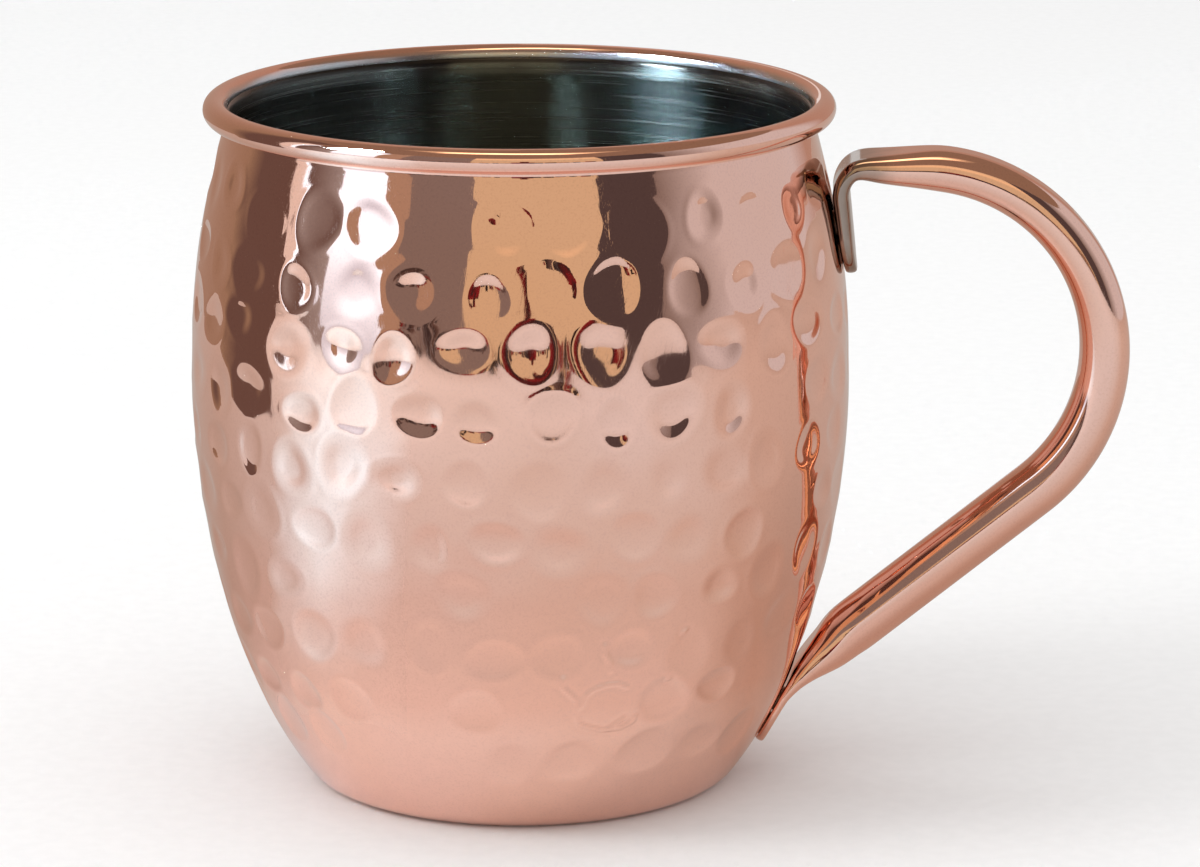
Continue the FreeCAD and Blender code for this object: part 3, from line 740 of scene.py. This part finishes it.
# Cards that only reflections see. Degrees round the mug from the camera to its right, first and
# last; the distance; then from the bottom up the height and the colour at each side.
TAN = (0.33, 0.25, 0.18)
FAWN = (0.45, 0.35, 0.27)
BROWN = (0.15, 0.105, 0.095)
DARK = (0.09, 0.075, 0.08)
GREY_BROWN = (0.25, 0.225, 0.22)
CREAM = (0.70, 0.61, 0.42)
LAMPLIT = (1.0, 0.8, 0.52)
WINDOW = (1.4, 2.0, 2.6)
HAZE = (0.75, 0.98, 1.3)
SKY = (110.0, 150.0, 185.0)
GREY = (0.37, 0.39, 0.42)
PALE = (0.66, 0.71, 0.78)
DUSKY = (0.48, 0.34, 0.28)
RED = (0.26, 0.02, 0.025)
BLACK = (0.03, 0.02, 0.02)
CARDS = (
    (-180, -112, 0.45, ((0, DUSKY, TAN), (0.6, DUSKY, TAN))),
    (-118, -108, 0.3, ((0, TAN, BROWN), (0.45, TAN, BROWN))),
    (-108, -89, 0.3, ((0, BROWN, BROWN), (0.45, BROWN, BROWN))),
    (-88, -86, WALL_FAR, ((0, WINDOW, WINDOW), (WALL_HEIGHT, WINDOW, WINDOW))),
    (-86, -70, WALL_FAR, ((0, BROWN, GREY), (WALL_HEIGHT, BROWN, GREY))),
    (-70, -52, WALL_FAR, ((0, HAZE, HAZE), (0.3, WINDOW, WINDOW), (WALL_HEIGHT, WINDOW, WINDOW))),
    (-77, -64, 1.0, ((0.6, SKY, SKY), (1.25, SKY, SKY))),
    (-52, -42, WALL_FAR, ((0, FAWN, FAWN), (WALL_HEIGHT, FAWN, FAWN))),
    (-42, -17, WALL_FAR, ((0, GREY_BROWN, GREY_BROWN), (WALL_HEIGHT, GREY_BROWN, GREY_BROWN))),
    (-17, 29, WALL_FAR, ((0, CREAM, CREAM), (0.7, CREAM, CREAM), (0.95, LAMPLIT, LAMPLIT),
                         (WALL_HEIGHT, LAMPLIT, CREAM))),
    (-3, 5, 1.4, ((0, RED, BLACK), (0.12, RED, BLACK), (0.2, BLACK, RED))),
    (0, 3, 1.38, ((0.1, BLACK, RED), (0.36, RED, BLACK))),
    (29, 52, WALL_FAR, ((0, DARK, DARK), (WALL_HEIGHT, DARK, DARK))),
    (52, 78, WALL_FAR, ((0, GREY_BROWN, PALE), (WALL_HEIGHT, GREY_BROWN, PALE))),
    (78, 125, WALL_FAR, ((0, PALE, PALE), (WALL_HEIGHT, PALE, PALE))),
    (125, 140, WALL_FAR, ((0, PALE, DUSKY), (WALL_HEIGHT, PALE, DUSKY))),
    (140, 180, WALL_FAR, ((0, DUSKY, DUSKY), (WALL_HEIGHT, DUSKY, DUSKY))),
)
CEILING = (0.28, 0.21, 0.16)

# Tone of the table as the copper shows it: share of its light left, by direction and by distance
COOL = (1.0, 1.04, 1.08)
WARM = (1.0, 0.88, 0.80)
PLAIN = (1.0, 1.0, 1.0)
ROSY = (1.0, 0.93, 0.90)
BLUISH = (1.02, 1.06, 1.09)
TONE_SIDES = ((-180, 0.66, WARM), (-120, 0.68, WARM), (-85, 0.85, COOL), (-60, 1.0, COOL), (40, 1.0, COOL),
              (60, 0.96, PLAIN), (80, 0.86, WARM), (100, 0.82, WARM), (140, 0.74, WARM), (180, 0.66, WARM))
TONE_REACH = ((0.02, 1.0, PLAIN), (0.045, 0.97, PLAIN), (0.055, 0.88, ROSY), (0.07, 0.78, ROSY),
              (0.09, 0.72, ROSY), (0.13, 0.71, PLAIN), (0.25, 0.74, BLUISH), (0.5, 0.82, BLUISH),
              (1.59, 0.87, PLAIN))

# Small things that stand on the table opposite the mug
CLUTTER_SEED = 7
CLUTTER_FIRST, CLUTTER_LAST = -50, 24
CLUTTER_DISTANCE = 1.45
CLUTTER_COLOURS = (BLACK, BROWN, DARK, BLACK, RED, BLACK)

# Shine of the window on the table, and lamplight on the ceiling, by direction and by distance
SHINE = (0.26, 0.66, 0.95)
SHINE_SIDES = ((-88, 0.0, PLAIN), (-76, 0.5, PLAIN), (-64, 1.0, PLAIN), (-52, 0.5, PLAIN), (-34, 0.0, PLAIN))
SHINE_REACH = ((0.045, 0.05, PLAIN), (0.06, 0.1, PLAIN), (0.1, 0.85, PLAIN), (0.2, 1.15, PLAIN),
               (0.6, 1.0, PLAIN), (1.59, 0.6, PLAIN))
LAMP_SIDES = ((-110, 0.3, PLAIN), (-60, 1.0, PLAIN), (30, 1.0, PLAIN), (60, 0.3, PLAIN), (90, 0.0, PLAIN))
LAMP_REACH = ((0.0, 0.0, PLAIN), (0.1, 3.2, PLAIN), (0.3, 3.2, PLAIN), (0.5, 0.0, PLAIN))


def direction(turn):
    """Flat unit direction, turned from the camera's side to its right by some degrees."""
    angle = CAMERA_TURN - math.pi / 2 + math.radians(turn)
    return math.cos(angle), math.sin(angle)


def studio_material(name):
    """Make an empty material for a card and return it with its tree and the card's colours."""
    material = bpy.data.materials.new(name)
    material.use_nodes = True
    material.cycles.emission_sampling = "NONE"
    tree = material.node_tree
    tree.nodes.clear()
    return material, tree, node(tree, "ShaderNodeAttribute", attribute_name="glow").outputs["Color"]


def glow_material(name, see_through):
    """Glow in each card's own colours, on its own or added to what lies behind it."""
    material, tree, colour = studio_material(name)
    surface = node(tree, "ShaderNodeEmission", {"Color": colour, "Strength": 1.0}).outputs[0]
    if see_through:
        clear = node(tree, "ShaderNodeBsdfTransparent").outputs[0]
        surface = node(tree, "ShaderNodeAddShader", {0: surface, 1: clear}).outputs[0]
    node(tree, "ShaderNodeOutputMaterial", {"Surface": surface})
    return material


def see_through_material(name):
    """Clear sheet that tints what lies behind it with its own colours."""
    material, tree, colour = studio_material(name)
    clear = node(tree, "ShaderNodeBsdfTransparent", {"Color": colour}).outputs[0]
    node(tree, "ShaderNodeOutputMaterial", {"Surface": clear})
    return material


def add_glow(name, corners, faces, colours, material):
    """Make a glowing sheet that only reflections see."""
    mesh = bpy.data.meshes.new(name)
    mesh.from_pydata(corners, [], faces)
    glow = mesh.attributes.new("glow", "FLOAT_COLOR", "POINT")
    glow.data.foreach_set("color", [part for colour in colours for part in (*colour, 1.0)])
    sheet = add_object(name, mesh)
    dress(sheet, material)
    for ray in ("camera", "diffuse", "transmission", "volume_scatter", "shadow"):
        setattr(sheet, f"visible_{ray}", False)


def build_surround():
    """Ring of cards and a ceiling, for the copper and the steel to reflect."""
    material = glow_material("studio_glow", False)
    for number, (first, last, far, rows) in enumerate(CARDS):
        add_card(f"card_{number}", first, last, far, rows, material)
    rim = [(WALL_FAR * x, WALL_FAR * y, WALL_HEIGHT) for x, y in map(direction, range(0, 360, 6))]
    add_glow("card_ceiling", rim, [range(len(rim))], [CEILING] * len(rim), material)

    rng = random.Random(CLUTTER_SEED)
    first = CLUTTER_FIRST
    while first < CLUTTER_LAST:
        last = first + rng.uniform(0.8, 4.5)
        height = rng.uniform(0.03, 0.17)
        left, right = rng.choice(CLUTTER_COLOURS), rng.choice(CLUTTER_COLOURS)
        far = CLUTTER_DISTANCE + rng.uniform(0, 0.1)
        rows = ((0, left, right), (height, left, right))
        add_card(f"clutter_{first:.0f}", first, last, far, rows, material)
        first = last + rng.uniform(0, 1.8)


def add_card(name, first, last, far, rows, material):
    """Bend a card round the mug between two directions."""
    corners, colours, faces = [], [], []
    steps = math.ceil((last - first) / 4)
    for height, left, right in rows:
        for step in range(steps + 1):
            share = step / steps
            x, y = direction(first + share * (last - first))
            corners.append((far * x, far * y, height))
            colours.append([(1 - share) * a + share * b for a, b in zip(left, right)])
    for row in range(len(rows) - 1):
        for step in range(steps):
            corner = row * (steps + 1) + step
            faces.append((corner, corner + 1, corner + steps + 2, corner + steps + 1))
    add_glow(name, corners, faces, colours, material)


def add_fan(name, height, sides, reach, colour, material):
    """Lay a level sheet whose colour is scaled by direction and by distance from the axis."""
    corners, colours, faces = [], [], []
    for far, strength, cast in reach:
        for turn, share, tint in sides:
            x, y = direction(turn)
            corners.append((far * x, far * y, height))
            colours.append([strength * share * math.prod(parts) for parts in zip(colour, cast, tint)])
    columns = len(sides)
    for row in range(len(reach) - 1):
        for column in range(columns - 1):
            corner = row * columns + column
            faces.append((corner, corner + 1, corner + columns + 1, corner + columns))
    add_glow(name, corners, faces, colours, material)


def build_tone():
    """Clear sheets that dim and brighten the table in reflections only, and a lamplit ceiling."""
    turns, shares, tints = zip(*TONE_SIDES)
    finer = [(turn, np.interp(turn, turns, shares), [np.interp(turn, turns, hue) for hue in zip(*tints)])
             for turn in range(-180, 181, 10)]
    add_fan("table_tone", 0.2 * MM, finer, TONE_REACH, PLAIN, see_through_material("table_tone"))
    glow = glow_material("table_shine", True)
    add_fan("table_shine", 0.4 * MM, SHINE_SIDES, SHINE_REACH, SHINE, glow)
    add_fan("ceiling_lamplight", WALL_HEIGHT - 0.02, LAMP_SIDES, LAMP_REACH, LAMPLIT, glow)


def build_floor():
    """Plain pale floor with a faint grain."""
    mesh = bpy.data.meshes.new("floor")
    rim = [(FLOOR_RADIUS * x, FLOOR_RADIUS * y, 0) for x, y in map(direction, range(0, 360, 5))]
    mesh.from_pydata(rim, [], [range(len(rim))])
    floor = add_object("floor", mesh)
    material, tree, shader = new_material("pale_floor")
    grain = remap(tree, noise(tree, mug_position(tree), 400.0, 3.0), 0.3, 0.7)
    feed(tree, shader.inputs["Base Color"], mix_colour(tree, grain, FLOOR_COLOUR, FLOOR_PALER))
    shader.inputs["Roughness"].default_value = 0.9
    shader.inputs["Specular IOR Level"].default_value = 0.1
    dress(floor, material)


def build_light():
    """Soft light: a pale sky, a wide softbox overhead and a key light from the left."""
    scene = bpy.context.scene
    scene.world = bpy.data.worlds.new("studio")
    scene.world.use_nodes = True
    background = scene.world.node_tree.nodes["Background"]
    background.inputs["Color"].default_value = (1, 1, 1, 1)
    background.inputs["Strength"].default_value = 0.86
    add_softbox("softbox_top", (0, 0, 1.25), 1.6, 3.5)
    x, y = direction(-75)
    add_softbox("softbox_key", (x, y, 0.8), 0.5, 4)
    scene.view_settings.view_transform = "Standard"


def add_softbox(name, location, size, power):
    """Hang a round soft light that faces the mug."""
    lamp = bpy.data.lights.new(name, "AREA")
    lamp.shape = "DISK"
    lamp.size = size
    lamp.energy = power
    softbox = bpy.data.objects.new(name, lamp)
    softbox.location = location
    softbox.rotation_euler = Vector(location).to_track_quat("Z", "Y").to_euler()
    softbox.visible_glossy = False
    bpy.context.scene.collection.objects.link(softbox)


def build_camera():
    """Camera with a long lens, a little above the rim, that sees into the mug."""
    data = bpy.data.cameras.new("camera")
    data.lens = FOCAL_LENGTH
    data.sensor_width = 36
    camera = bpy.data.objects.new("camera", data)
    camera.location = (CAMERA_DISTANCE * math.sin(CAMERA_TURN), -CAMERA_DISTANCE * math.cos(CAMERA_TURN),
                       CAMERA_HEIGHT)
    camera.rotation_euler = (math.pi / 2 - CAMERA_PITCH, 0, CAMERA_TURN - CAMERA_ASIDE)
    bpy.context.scene.collection.objects.link(camera)
    bpy.context.scene.camera = camera


POLISHED = {"polish": 0.03, "haze": 0.08, "line_haze": 0.05, "line_depth": 0.02, "skin": 0.03,
            "bare_crest": False, "near_wall_dark": True}
HAMMERED = {"polish": 0.02, "haze": 0.06, "line_haze": 0.05, "line_depth": 0.02, "skin": 0.05,
            "bare_crest": True, "near_wall_dark": False}

shell = build_shell()
dress(shell, copper_material("hammered_copper", HAMMERED))
dress(build_lining(), steel_material())
dress(build_handle(), copper_material("handle_copper", POLISHED))
welds = weld_material()
dress(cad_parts["upper_weld_spots"], welds)
dress(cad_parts["lower_weld_spots"], welds)
build_surround()
build_tone()
build_floor()
build_light()
build_camera()
